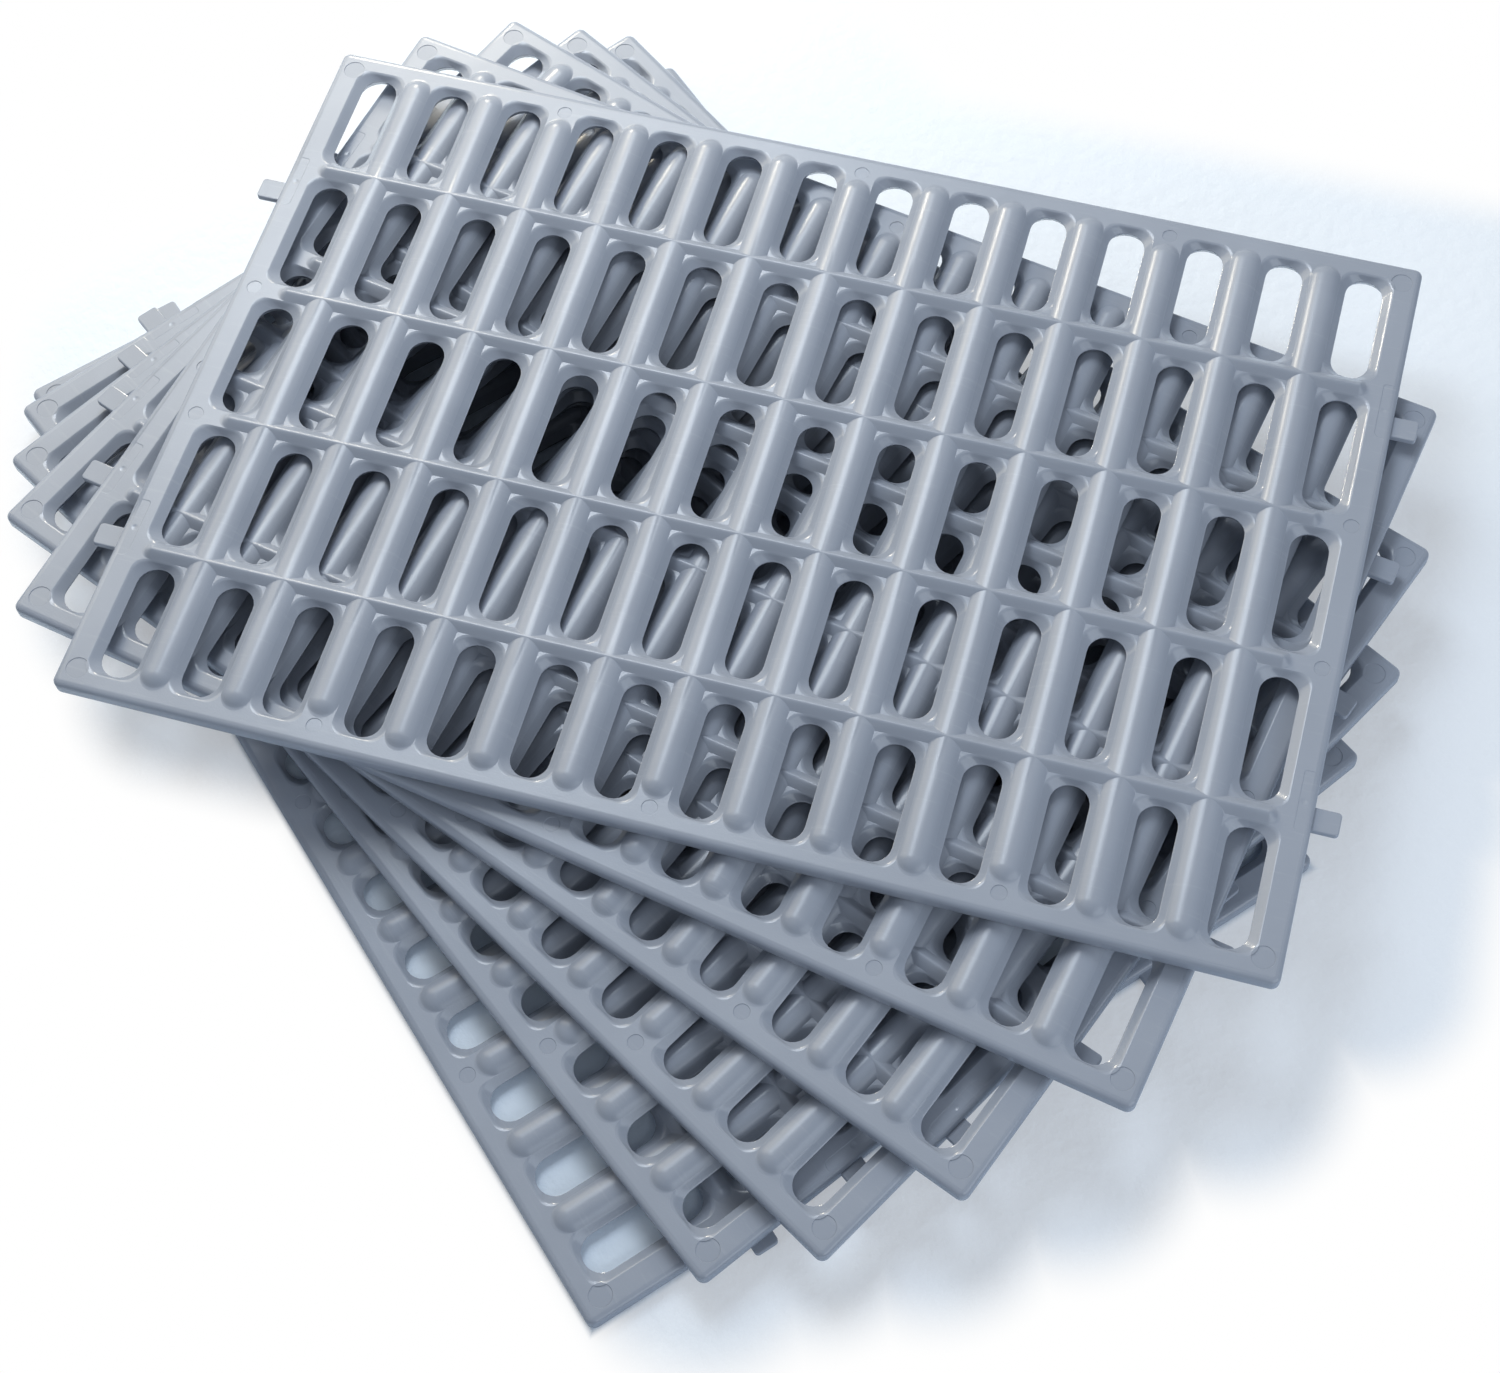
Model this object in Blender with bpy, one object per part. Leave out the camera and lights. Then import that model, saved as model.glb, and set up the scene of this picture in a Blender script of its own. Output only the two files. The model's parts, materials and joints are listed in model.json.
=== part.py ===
# Six slotted floor trays in a loose fanned stack.
# Each tray is one moulding: a flat rim, rounded bars between the columns of slots, ridged ribs
# between the rows, drafted slots open right through, and joining tabs on the two short edges.
# Units are metres, +Z is up, and the origin is the middle of the bottom tray's underside.

import math

import bmesh
import bpy
from mathutils import Vector

# Slot pattern
COLUMNS = 14
ROWS = 5
SLOT_WIDTH = 0.01874
SLOT_LENGTH = 0.0464
END_ROW_SLOT_LENGTH = 0.0429
SIDE_DRAFT = 0.00307
END_DRAFT = 0.0019
CORNER_POINTS = 2

# Bars run across the tray, ribs run along it
BAR_FOOT = 0.0086
BAR_CROWN = 0.0040
RIB_FOOT = 0.0067
BAR_RISE = 0.0022
BAR_END_SETBACK = 0.0008
SHORT_BAR_STEP = 4
SHORT_BAR_SETBACK = 0.0046
RIB_END_SETBACK = 0.0016
SHORT_RIB_SETBACK = 0.0074
BAR_END_ROUND = 0.0030
RIB_END_ROUND = 0.0021

# Rim
PLATE_THICKNESS = 0.0053
RIM_SIDE = 0.00842
RIM_END = 0.0066
CORNER_RADIUS = 0.0025
CORNER_SIDES = 3

# Joining tabs on the short edges, each beside a shallow landing for the next tray's tab
TAB_WIDTH = 0.0080
TAB_REACH = 0.0085
TAB_THICKNESS = 0.0022
TAB_CORNER = 0.0015
TAB_UNDERSIDE = 0.0012
TAB_OFFSET = 0.0040
LANDING_LENGTH = 0.0214
LANDING_WIDTH = 0.0055
LANDING_DEPTH = 0.0005
CONNECTOR_SPREAD = 0.0727

# Fan: each tray is turned on the tray below about an upright axis, given in the lower tray's frame
STACK_GAP = 0.0003
FAN_TURN_5 = 5.8
FAN_PIVOT_5 = (-0.128, -0.030)
FAN_TURN_4 = 6.5
FAN_PIVOT_4 = (-0.059, 0.048)
FAN_TURN_3 = 8.2
FAN_PIVOT_3 = (-0.072, 0.016)
FAN_TURN_2 = 10.8
FAN_PIVOT_2 = (-0.047, 0.026)
FAN_TURN_1 = 10.4
FAN_PIVOT_1 = (-0.069, 0.029)

# Finish, linear colour
TRAY_COLOUR = (0.285, 0.312, 0.365, 1.0)
TRAY_ROUGHNESS = 0.32

TOP = PLATE_THICKNESS
CROWN_TOP = PLATE_THICKNESS + BAR_RISE
MERGE = 1e-6
SMOOTH_ANGLE = 52.0


def spans(count, inner, end, land):
    """Start and end of each slot along one direction, centred on the tray."""
    sizes = []
    for index in range(count):
        at_end = index in (0, count - 1)
        sizes.append(end if at_end else inner)
    total = sum(sizes) + land * (count - 1)
    start = -total / 2
    found = []
    for size in sizes:
        found.append((start, start + size))
        start += size + land
    return found


COLUMN_SPANS = spans(COLUMNS, SLOT_WIDTH, SLOT_WIDTH, BAR_FOOT)
ROW_SPANS = spans(ROWS, SLOT_LENGTH, END_ROW_SLOT_LENGTH, RIB_FOOT)
HALF_LENGTH = COLUMN_SPANS[-1][1] + RIM_SIDE
HALF_WIDTH = ROW_SPANS[-1][1] + RIM_END
SLOT_FIELD_X = COLUMN_SPANS[-1][1]
SLOT_FIELD_Y = ROW_SPANS[-1][1]
CONNECTOR_PLACES = (-CONNECTOR_SPREAD, CONNECTOR_SPREAD)


def bar_nose(middle):
    """How far out a bar reaches; every fourth bar from the middle one stops short of an ejector mark."""
    number = round(middle / (SLOT_WIDTH + BAR_FOOT))
    short = number % SHORT_BAR_STEP == 0
    return SLOT_FIELD_Y - (SHORT_BAR_SETBACK if short else BAR_END_SETBACK)


def rib_nose(ridge):
    """How far out a rib reaches; the two ribs beside the middle row stop short of an ejector mark."""
    short = abs(ridge) < SLOT_LENGTH + RIB_FOOT
    return SLOT_FIELD_X - (SHORT_RIB_SETBACK if short else RIB_END_SETBACK)


def clear_scene():
    for old in list(bpy.data.objects):
        bpy.data.objects.remove(old, do_unlink=True)


def add_face(bm, points):
    """One face from a list of points; shared points are merged when the tray is whole."""
    bm.faces.new([bm.verts.new(Vector(point)) for point in points])


def add_loop(bm, points):
    """A closed loop of edges."""
    verts = [bm.verts.new(Vector(point)) for point in points]
    return [bm.edges.new((verts[k - 1], verts[k])) for k in range(len(verts))]


def fill_flat(bm, loops, normal):
    """Fill a flat region given by its outer loop and the loops of its holes."""
    patch = bmesh.new()
    edges = []
    for loop in loops:
        edges.extend(add_loop(patch, loop))
    bmesh.ops.triangle_fill(patch, edges=edges, use_beauty=True, normal=Vector(normal))
    for face in patch.faces:
        add_face(bm, [vert.co.copy() for vert in face.verts])
    patch.free()


def hole_ring(column, row):
    """Round-ended opening in the underside, as points going round anticlockwise."""
    left, right = column
    front, back = row
    radius = (right - left) / 2 - SIDE_DRAFT
    middle = (left + right) / 2
    back_centre = back - END_DRAFT - radius
    front_centre = front + END_DRAFT + radius
    step = math.pi / (2 * CORNER_POINTS)
    reach = radius / math.cos(step / 2)
    ring = []
    for centre, first in ((back_centre, 0.0), (front_centre, math.pi)):
        for k in range(2 * CORNER_POINTS):
            angle = first + step * (k + 0.5)
            ring.append((middle + reach * math.cos(angle), centre + reach * math.sin(angle), 0.0))
    return ring


def add_slot(bm, column, row):
    """Drafted slot wall from the four corners at plate level down to the round-ended opening."""
    left, right = column
    front, back = row
    corners = [(right, back), (left, back), (left, front), (right, front)]
    corners = [(x, y, TOP) for x, y in corners]
    ring = hole_ring(column, row)
    for index, corner in enumerate(corners):
        first = index * CORNER_POINTS
        last = first + CORNER_POINTS - 1
        for k in range(first, last):
            add_face(bm, [corner, ring[k], ring[k + 1]])
        following = corners[(index + 1) % 4]
        edge = slot_edge(corner, following)
        add_face(bm, [ring[last], ring[(last + 1) % len(ring)]] + edge)


def slot_edge(corner, following):
    """Top edge of a slot wall from the following corner back, with the points where a bar or rib ends."""
    edge = [following]
    for place in bar_end_points(following, corner):
        edge.append(place)
    edge.append(corner)
    return edge


def bar_end_points(start, stop):
    """Where the straight foot of a bar or rib stops short of the slot corner at the rim."""
    points = []
    if start[0] == stop[0]:
        axis = 1
        for left, right in bar_places():
            if start[0] in (left, right):
                side_end = bar_nose((left + right) / 2) - BAR_END_ROUND
                points = [(start[0], y, TOP) for y in (side_end, -side_end)]
    else:
        axis = 0
        for low, high in rib_places():
            if start[1] in (low, high):
                side_end = rib_nose((low + high) / 2) - RIB_END_ROUND
                points = [(x, start[1], TOP) for x in (side_end, -side_end)]
    first = min(start[axis], stop[axis])
    last = max(start[axis], stop[axis])
    return [point for point in points if first < point[axis] < last]


def bar_places():
    return [(COLUMN_SPANS[k][1], COLUMN_SPANS[k + 1][0]) for k in range(COLUMNS - 1)]


def rib_places():
    return [(ROW_SPANS[k][1], ROW_SPANS[k + 1][0]) for k in range(ROWS - 1)]


def add_bar(bm, left, right):
    """Rounded bar: two flanks and a crown, mitred to the ribs, with a rounded nose at each rim."""
    middle = (left + right) / 2
    crown = (middle - BAR_CROWN / 2, middle + BAR_CROWN / 2)
    nose_y = bar_nose(middle)
    side_y = nose_y - BAR_END_ROUND
    crown_y = nose_y - (BAR_FOOT - BAR_CROWN) / 2
    ribs = rib_places()
    ridges = [(low + high) / 2 for low, high in ribs]
    foot_stops = [-side_y] + [y for rib in ribs for y in rib] + [side_y]
    crown_stops = [-crown_y] + ridges + [crown_y]
    for k in range(ROWS):
        y0, y1 = foot_stops[2 * k], foot_stops[2 * k + 1]
        c0, c1 = crown_stops[k], crown_stops[k + 1]
        add_face(bm, [(left, y1, TOP), (left, y0, TOP), (crown[0], c0, CROWN_TOP), (crown[0], c1, CROWN_TOP)])
        add_face(bm, [(right, y0, TOP), (right, y1, TOP), (crown[1], c1, CROWN_TOP), (crown[1], c0, CROWN_TOP)])
        add_face(bm, [(crown[0], c0, CROWN_TOP), (crown[1], c0, CROWN_TOP),
                      (crown[1], c1, CROWN_TOP), (crown[0], c1, CROWN_TOP)])
    for sign in (-1, 1):
        tip = [(x, sign * crown_y, CROWN_TOP) for x in crown]
        nose = [(x, sign * nose_y, TOP) for x in crown]
        side = [(x, sign * side_y, TOP) for x in (left, right)]
        add_face(bm, [tip[0], tip[1], nose[1], nose[0]])
        for k in (0, 1):
            add_face(bm, [tip[k], nose[k], side[k]])


def add_rib(bm, low, high):
    """Ridged rib: two sloping sides that meet in a ridge level with the bar crowns."""
    ridge = (low + high) / 2
    nose_x = rib_nose(ridge)
    side_x = nose_x - RIB_END_ROUND
    bars = bar_places()
    foot_stops = [-side_x] + [x for bar in bars for x in bar] + [side_x]
    ridge_stops = [-side_x]
    for left, right in bars:
        middle = (left + right) / 2
        ridge_stops += [middle - BAR_CROWN / 2, middle + BAR_CROWN / 2]
    ridge_stops.append(side_x)
    for k in range(COLUMNS):
        f0, f1 = foot_stops[2 * k], foot_stops[2 * k + 1]
        r0, r1 = ridge_stops[2 * k], ridge_stops[2 * k + 1]
        for foot in (low, high):
            add_face(bm, [(f0, foot, TOP), (f1, foot, TOP), (r1, ridge, CROWN_TOP), (r0, ridge, CROWN_TOP)])
    for sign in (-1, 1):
        tip = (sign * side_x, ridge, CROWN_TOP)
        nose = (sign * nose_x, ridge, TOP)
        for foot in (low, high):
            add_face(bm, [tip, nose, (sign * side_x, foot, TOP)])


def inner_outline():
    """Inner edge of the flat rim: slot corners at the rim and the noses of the bars and ribs between them."""
    back = []
    for k, (left, right) in enumerate(COLUMN_SPANS):
        back += [(left, SLOT_FIELD_Y), (right, SLOT_FIELD_Y)]
        if k < COLUMNS - 1:
            following = COLUMN_SPANS[k + 1][0]
            middle = (right + following) / 2
            nose_y = bar_nose(middle)
            back += [(right, nose_y - BAR_END_ROUND), (middle - BAR_CROWN / 2, nose_y)]
            back += [(middle + BAR_CROWN / 2, nose_y), (following, nose_y - BAR_END_ROUND)]
    right_side = []
    for low, high in reversed(rib_places()):
        ridge = (low + high) / 2
        nose_x = rib_nose(ridge)
        right_side += [(SLOT_FIELD_X, high), (nose_x - RIB_END_ROUND, high), (nose_x, ridge)]
        right_side += [(nose_x - RIB_END_ROUND, low), (SLOT_FIELD_X, low)]
    half = back + right_side
    return [(x, y, TOP) for x, y in half] + [(-x, -y, TOP) for x, y in half]


def outer_outline(with_landings):
    """Outer edge of the tray at plate level, with the landings cut back where the tabs are."""
    points = []
    edge = HALF_LENGTH
    inner = HALF_LENGTH - LANDING_WIDTH
    corner_x = HALF_LENGTH - CORNER_RADIUS
    corner_y = HALF_WIDTH - CORNER_RADIUS
    for k in range(CORNER_SIDES + 1):
        angle = -math.pi / 2 + k * math.pi / 2 / CORNER_SIDES
        points.append((corner_x + CORNER_RADIUS * math.cos(angle), -corner_y + CORNER_RADIUS * math.sin(angle)))
    if with_landings:
        for place in CONNECTOR_PLACES:
            low, high = place - LANDING_LENGTH / 2, place + LANDING_LENGTH / 2
            points += [(edge, low), (inner, low), (inner, high), (edge, high)]
    for k in range(CORNER_SIDES + 1):
        angle = k * math.pi / 2 / CORNER_SIDES
        points.append((corner_x + CORNER_RADIUS * math.cos(angle), corner_y + CORNER_RADIUS * math.sin(angle)))
    return points + [(-x, -y) for x, y in points]


def add_rim_walls(bm):
    """Upright rim: the short edges carry the tabs and landings, the long edges and corners are plain."""
    outline = outer_outline(False)
    per_side = 2 * (CORNER_SIDES + 1)
    for k, (x, y) in enumerate(outline):
        following = outline[(k + 1) % len(outline)]
        if k % per_side == CORNER_SIDES:
            add_short_edge(bm, 1 if k < per_side else -1)
            continue
        add_face(bm, [(x, y, 0.0), (*following, 0.0), (*following, TOP), (x, y, TOP)])


def add_short_edge(bm, sign):
    """One short edge of the tray; the other is its mirror image."""
    reach = HALF_WIDTH - CORNER_RADIUS
    floor = TOP - LANDING_DEPTH
    wall = [(-reach, 0.0), (reach, 0.0), (reach, TOP)]
    holes = []
    for place in reversed(CONNECTOR_PLACES):
        low, high = place - LANDING_LENGTH / 2, place + LANDING_LENGTH / 2
        wall += [(high, TOP), (high, floor), (low, floor), (low, TOP)]
        holes.append(tab_section(place))
        add_landing(bm, sign, low, high, floor)
        add_tab(bm, sign, place)
    wall.append((-reach, TOP))
    edge = sign * HALF_LENGTH
    loops = [[(edge, y, z) for y, z in loop] for loop in [wall] + holes]
    fill_flat(bm, loops, (1.0, 0.0, 0.0))


def add_landing(bm, sign, low, high, floor):
    """Shallow step in the rim beside a tab."""
    outer = sign * HALF_LENGTH
    inner = sign * (HALF_LENGTH - LANDING_WIDTH)
    add_face(bm, [(outer, low, floor), (outer, high, floor), (inner, high, floor), (inner, low, floor)])
    add_face(bm, [(inner, low, floor), (inner, high, floor), (inner, high, TOP), (inner, low, TOP)])
    for y in (low, high):
        add_face(bm, [(outer, y, floor), (inner, y, floor), (inner, y, TOP), (outer, y, TOP)])


def tab_section(place):
    """Root of a tab on the short edge."""
    middle = place - TAB_OFFSET
    low, high = middle - TAB_WIDTH / 2, middle + TAB_WIDTH / 2
    top = TAB_UNDERSIDE + TAB_THICKNESS
    return [(low, TAB_UNDERSIDE), (high, TAB_UNDERSIDE), (high, top), (low, top)]


def add_tab(bm, sign, place):
    """Flat tab with two cut corners at its tip."""
    middle = place - TAB_OFFSET
    low, high = middle - TAB_WIDTH / 2, middle + TAB_WIDTH / 2
    tip = HALF_LENGTH + TAB_REACH
    plan = [(HALF_LENGTH, low), (tip - TAB_CORNER, low), (tip, low + TAB_CORNER)]
    plan += [(tip, high - TAB_CORNER), (tip - TAB_CORNER, high), (HALF_LENGTH, high)]
    plan = [(sign * x, y) for x, y in plan]
    top = TAB_UNDERSIDE + TAB_THICKNESS
    for z in (TAB_UNDERSIDE, top):
        add_face(bm, [(x, y, z) for x, y in plan])
    for k in range(len(plan) - 1):
        start, stop = plan[k], plan[k + 1]
        add_face(bm, [(*start, TAB_UNDERSIDE), (*stop, TAB_UNDERSIDE), (*stop, top), (*start, top)])


def tray_mesh():
    """The whole tray as one closed moulding, lying on its underside."""
    bm = bmesh.new()
    for column in COLUMN_SPANS:
        for row in ROW_SPANS:
            add_slot(bm, column, row)
    for left, right in bar_places():
        add_bar(bm, left, right)
    for low, high in rib_places():
        add_rib(bm, low, high)
    add_rim_walls(bm)
    rim = [(x, y, TOP) for x, y in outer_outline(True)]
    fill_flat(bm, [rim, inner_outline()], (0.0, 0.0, 1.0))
    underside = [[(x, y, 0.0) for x, y in outer_outline(False)]]
    for column in COLUMN_SPANS:
        for row in ROW_SPANS:
            underside.append(hole_ring(column, row))
    fill_flat(bm, underside, (0.0, 0.0, 1.0))
    bmesh.ops.remove_doubles(bm, verts=bm.verts, dist=MERGE)
    bmesh.ops.recalc_face_normals(bm, faces=bm.faces)
    mesh = bpy.data.meshes.new("slotted_tray")
    bm.to_mesh(mesh)
    bm.free()
    mesh.shade_smooth()
    mesh.set_sharp_from_angle(angle=math.radians(SMOOTH_ANGLE))
    return mesh


def tray_material(name):
    material = bpy.data.materials.new(name + "_polypropylene")
    material.use_nodes = True
    shader = material.node_tree.nodes["Principled BSDF"]
    shader.inputs["Base Color"].default_value = TRAY_COLOUR
    shader.inputs["Roughness"].default_value = TRAY_ROUGHNESS
    shader.inputs["Metallic"].default_value = 0.0
    return material


def add_tray(name, mesh, parent, location):
    tray = bpy.data.objects.new(name, mesh)
    bpy.context.scene.collection.objects.link(tray)
    tray.material_slots[0].link = "OBJECT"
    tray.material_slots[0].material = tray_material(name)
    tray.parent = parent
    tray.location = location
    return tray


def add_pivot(name, parent, pivot, turn):
    """Upright axis on the tray below, about which the next tray is fanned."""
    empty = bpy.data.objects.new(name, None)
    bpy.context.scene.collection.objects.link(empty)
    empty.parent = parent
    empty.location = (pivot[0], pivot[1], CROWN_TOP + STACK_GAP)
    empty.rotation_euler = (0.0, 0.0, math.radians(turn))
    return empty


clear_scene()
shared_mesh = tray_mesh()
shared_mesh.materials.append(None)
lower = add_tray("tray_6", shared_mesh, None, (0.0, 0.0, 0.0))
fan = [
    (5, FAN_TURN_5, FAN_PIVOT_5),
    (4, FAN_TURN_4, FAN_PIVOT_4),
    (3, FAN_TURN_3, FAN_PIVOT_3),
    (2, FAN_TURN_2, FAN_PIVOT_2),
    (1, FAN_TURN_1, FAN_PIVOT_1),
]
for number, turn, pivot in fan:
    axis = add_pivot("fan_axis_%d" % number, lower, pivot, turn)
    lower = add_tray("tray_%d" % number, shared_mesh, axis, (-pivot[0], -pivot[1], 0.0))
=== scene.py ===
"""Looks of a fanned stack of six slotted floor trays in blue-grey plastic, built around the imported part."""

import json
import math

import bmesh
import bpy
import numpy as np
from mathutils import Matrix, Vector
from mathutils.geometry import delaunay_2d_cdt

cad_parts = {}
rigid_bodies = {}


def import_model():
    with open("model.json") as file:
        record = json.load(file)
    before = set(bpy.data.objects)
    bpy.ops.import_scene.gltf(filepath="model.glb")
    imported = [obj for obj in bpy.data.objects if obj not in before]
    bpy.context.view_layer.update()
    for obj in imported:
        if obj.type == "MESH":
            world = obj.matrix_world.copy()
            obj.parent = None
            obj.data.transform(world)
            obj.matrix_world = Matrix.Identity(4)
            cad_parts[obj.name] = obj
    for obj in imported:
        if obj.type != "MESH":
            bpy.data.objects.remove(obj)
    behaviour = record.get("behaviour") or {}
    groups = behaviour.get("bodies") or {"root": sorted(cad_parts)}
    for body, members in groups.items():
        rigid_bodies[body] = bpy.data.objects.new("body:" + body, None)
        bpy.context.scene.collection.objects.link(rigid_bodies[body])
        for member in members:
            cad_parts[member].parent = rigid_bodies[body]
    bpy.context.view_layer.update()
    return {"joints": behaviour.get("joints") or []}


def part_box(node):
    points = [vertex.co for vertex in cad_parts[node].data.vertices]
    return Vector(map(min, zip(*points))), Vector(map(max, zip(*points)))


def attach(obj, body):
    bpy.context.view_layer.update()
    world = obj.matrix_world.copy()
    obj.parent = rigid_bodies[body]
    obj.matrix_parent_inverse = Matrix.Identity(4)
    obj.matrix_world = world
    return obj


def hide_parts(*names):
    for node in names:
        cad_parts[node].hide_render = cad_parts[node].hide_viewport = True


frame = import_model()

# The moulding is laid out in millimetres around the middle of one tray, with its underside at height zero.
# Slots stand in 14 columns and 5 rows; the end rows are a little shorter than the inner ones.
MILLIMETRE = 0.001
INNER_COLUMNS = 12
INNER_ROWS = 3
COLUMN_PITCH = 27.34
ROW_PITCH = 53.10
SIDE_COLUMN = 6.5 * COLUMN_PITCH
END_ROW = 104.60
END_RIB = END_ROW - 1.5 * ROW_PITCH
PLATE_TOP = 5.30
CROWN = 7.42
RIDGE = 7.50

# One slot with the halves of the bars and ribs that close it in. A bar's round crown stands on straight flanks,
# which run on as the slot's walls down to a thin lip. A rib is a low ridge that meets the bars in mitres over
# small flat corners. Their noses run out softly into the rim, and some stop short of an ejector mark.
BAR_HALF = 5.00
RIB_HALF = 3.05
RIDGE_ROUND = 0.75
HOLE_HALF_WIDTH = 6.25
HOLE_END_SETBACK = 1.85
HOLE_END_ROUND = 0.98
RIM_HOLE_SHIFT = 0.30
RIM_SIDE_REACH = 9.10
RIM_END_REACH = 21.30
LIP_HEIGHT = 3.00
LONG_BAR_NOSE = 16.40
SHORT_BAR_NOSE = 11.90
LONG_RIB_NOSE = 4.40
SHORT_RIB_NOSE = -1.30
GROUP_COLUMNS = 4
MOUTH_CORNER = 5.50
MITRE_ROUND = 0.55
ARC_STEPS = 6
SIDE_STEPS = 3
CROWN_STEPS = 6
WALL_PROFILE = ((0.00, 1.30), (2.35, 0.22), (2.62, 0.03), (2.80, 0.00), (2.93, 0.06),
                (LIP_HEIGHT, 0.20))
MOUTH_EDGE = ((0.38, 0.33, 0.30), (0.22, 0.08, 0.10), (0.07, -0.16, -0.61),
              (0.00, -0.40, -1.27))
WALL_SHARES = (0.12, 0.86)
NOSE_RUN_OUT = ((0.00, 0.90), (0.05, 0.42), (0.13, 0.12))
RIDGE_STEPS = (0.0, 0.40, 0.75, 1.0)
FLANK_SLOPE = (PLATE_TOP - LIP_HEIGHT) / (COLUMN_PITCH / 2 - HOLE_HALF_WIDTH - BAR_HALF)
FLANK_ANGLE = math.atan(FLANK_SLOPE)
CROWN_RADIUS = (PLATE_TOP + BAR_HALF * FLANK_SLOPE - CROWN) / (1 / math.cos(FLANK_ANGLE) - 1)


def arc(centre, radius, start, end, steps):
    """Points on a circle from one angle to another, both ends included."""
    angles = np.radians(np.linspace(start, end, steps + 1))
    return np.stack([centre[0] + radius * np.cos(angles), centre[1] + radius * np.sin(angles)], axis=1)


def run(start, end, steps):
    """Points between two ends, neither of them included."""
    share = np.arange(1, steps)[:, None] / steps
    return np.asarray(start) + share * (np.asarray(end) - np.asarray(start))


def rounded(left, right, front, back, radius):
    """A rectangle with rounded corners, counter-clockwise from its right back corner."""
    signs = ((1, 1), (-1, 1), (-1, -1), (1, -1))
    corners = []
    for turn, (sign_x, sign_y) in enumerate(signs):
        x = (right if sign_x > 0 else left) - sign_x * radius
        y = (back if sign_y > 0 else front) - sign_y * radius
        corners.append(arc((x, y), radius, 90 * turn, 90 * turn + 90, ARC_STEPS))
    points = []
    for turn in range(4):
        points.append(corners[turn])
        points.append(run(corners[turn][-1], corners[(turn + 1) % 4][0], SIDE_STEPS))
    return np.concatenate(points)


def bar_half(height):
    """Half width of a bar at a height above the plate: a straight flank up to a round crown."""
    above = height + PLATE_TOP - CROWN + CROWN_RADIUS
    if above > CROWN_RADIUS * math.cos(FLANK_ANGLE):
        return math.sqrt(max(CROWN_RADIUS ** 2 - above ** 2, 0.0))
    return BAR_HALF - height / FLANK_SLOPE


def rib_half(height):
    """Half width of a rib at a height above the plate: straight flanks that round over at the ridge."""
    rise = RIDGE - PLATE_TOP
    slope = rise / (math.hypot(RIB_HALF, RIDGE_ROUND) - RIDGE_ROUND)
    reach = (rise - height) / slope + RIDGE_ROUND
    return math.sqrt(max(reach ** 2 - RIDGE_ROUND ** 2, 0.0))


def mouth(rim_x, rim_y, level):
    """The slot's outline at one level of its mouth, whose corners and rim sides have a soft edge."""
    below, rim_inset, growth = level
    inset = below / FLANK_SLOPE
    side = COLUMN_PITCH / 2 - BAR_HALF - inset
    end = (END_RIB if rim_y else ROW_PITCH / 2) - RIB_HALF - inset
    right = RIM_SIDE_REACH - rim_inset if rim_x else side
    back = RIM_END_REACH - rim_inset if rim_y else end
    return rounded(-side, right, -end, back, MOUTH_CORNER - inset + growth)


def hole(rim_x, rim_y, growth):
    """The through hole's outline, with full round ends."""
    end = (END_RIB if rim_y else ROW_PITCH / 2) - RIB_HALF - HOLE_END_SETBACK
    shift = RIM_HOLE_SHIFT if rim_y else 0.0
    half = HOLE_HALF_WIDTH + growth
    return rounded(-half, half, -end - growth - shift, end + growth - shift, half * HOLE_END_ROUND)


def nose(centre, radius, start, end, run_out):
    """The round end of a bar or rib, drawn out a little where it runs out into the plate."""
    return np.array(centre) + arc((0.0, 0.0), 1.0, start, end, ARC_STEPS) * (radius + np.array(run_out))


def flank(cell, bar, rib, corner, run_out=0.0):
    """The line at one height around the bars and ribs of a slot, with a nose on each rim side."""
    bar_out, rib_out = (0.0, run_out), (run_out, 0.0)
    rim_x, rim_y, noses = cell
    bar_axis = COLUMN_PITCH / 2
    rib_axis = END_RIB if rim_y else ROW_PITCH / 2
    x = bar_axis - bar
    y = rib_axis - rib
    if not rim_x and not rim_y:
        return rounded(-x, x, -y, y, corner)
    south_west = arc((-x + corner, -y + corner), corner, 180, 270, ARC_STEPS)
    south_east = arc((x - corner, -y + corner), corner, 270, 360, ARC_STEPS)
    north_west = arc((-x + corner, y - corner), corner, 90, 180, ARC_STEPS)
    if rim_x and rim_y:
        chain = [nose((-bar_axis, noses[0]), bar, 90, 0, bar_out), south_west,
                 nose((noses[1], -rib_axis), rib, 90, 0, rib_out)]
    elif rim_y:
        chain = [nose((-bar_axis, noses[0]), bar, 90, 0, bar_out), south_west, south_east,
                 nose((bar_axis, noses[1]), bar, 180, 90, bar_out)]
    else:
        chain = [nose((noses[0], rib_axis), rib, 0, -90, rib_out), north_west, south_west,
                 nose((noses[1], -rib_axis), rib, 90, 0, rib_out)]
    points = [chain[0]]
    for before, after in zip(chain, chain[1:]):
        points.append(run(before[-1], after[0], SIDE_STEPS))
        points.append(after)
    return np.concatenate(points)


def ridge_line(cell, side, rib):
    """The line at one height along one rib of a slot, above the level of the bar crowns."""
    rim_x, rim_y, noses = cell
    bar_axis = COLUMN_PITCH / 2
    rib_axis = END_RIB if rim_y else ROW_PITCH / 2
    y = side * (rib_axis - rib)
    if rim_x:
        tip = arc((noses[1 if side < 0 else 0], side * rib_axis), rib, -90 * side, 0, ARC_STEPS)
    else:
        tip = np.array([(bar_axis, y)])
    line = np.concatenate([[(-bar_axis, y)], run((-bar_axis, y), tip[0], SIDE_STEPS), tip])
    return line if side < 0 else line[::-1]


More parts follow.
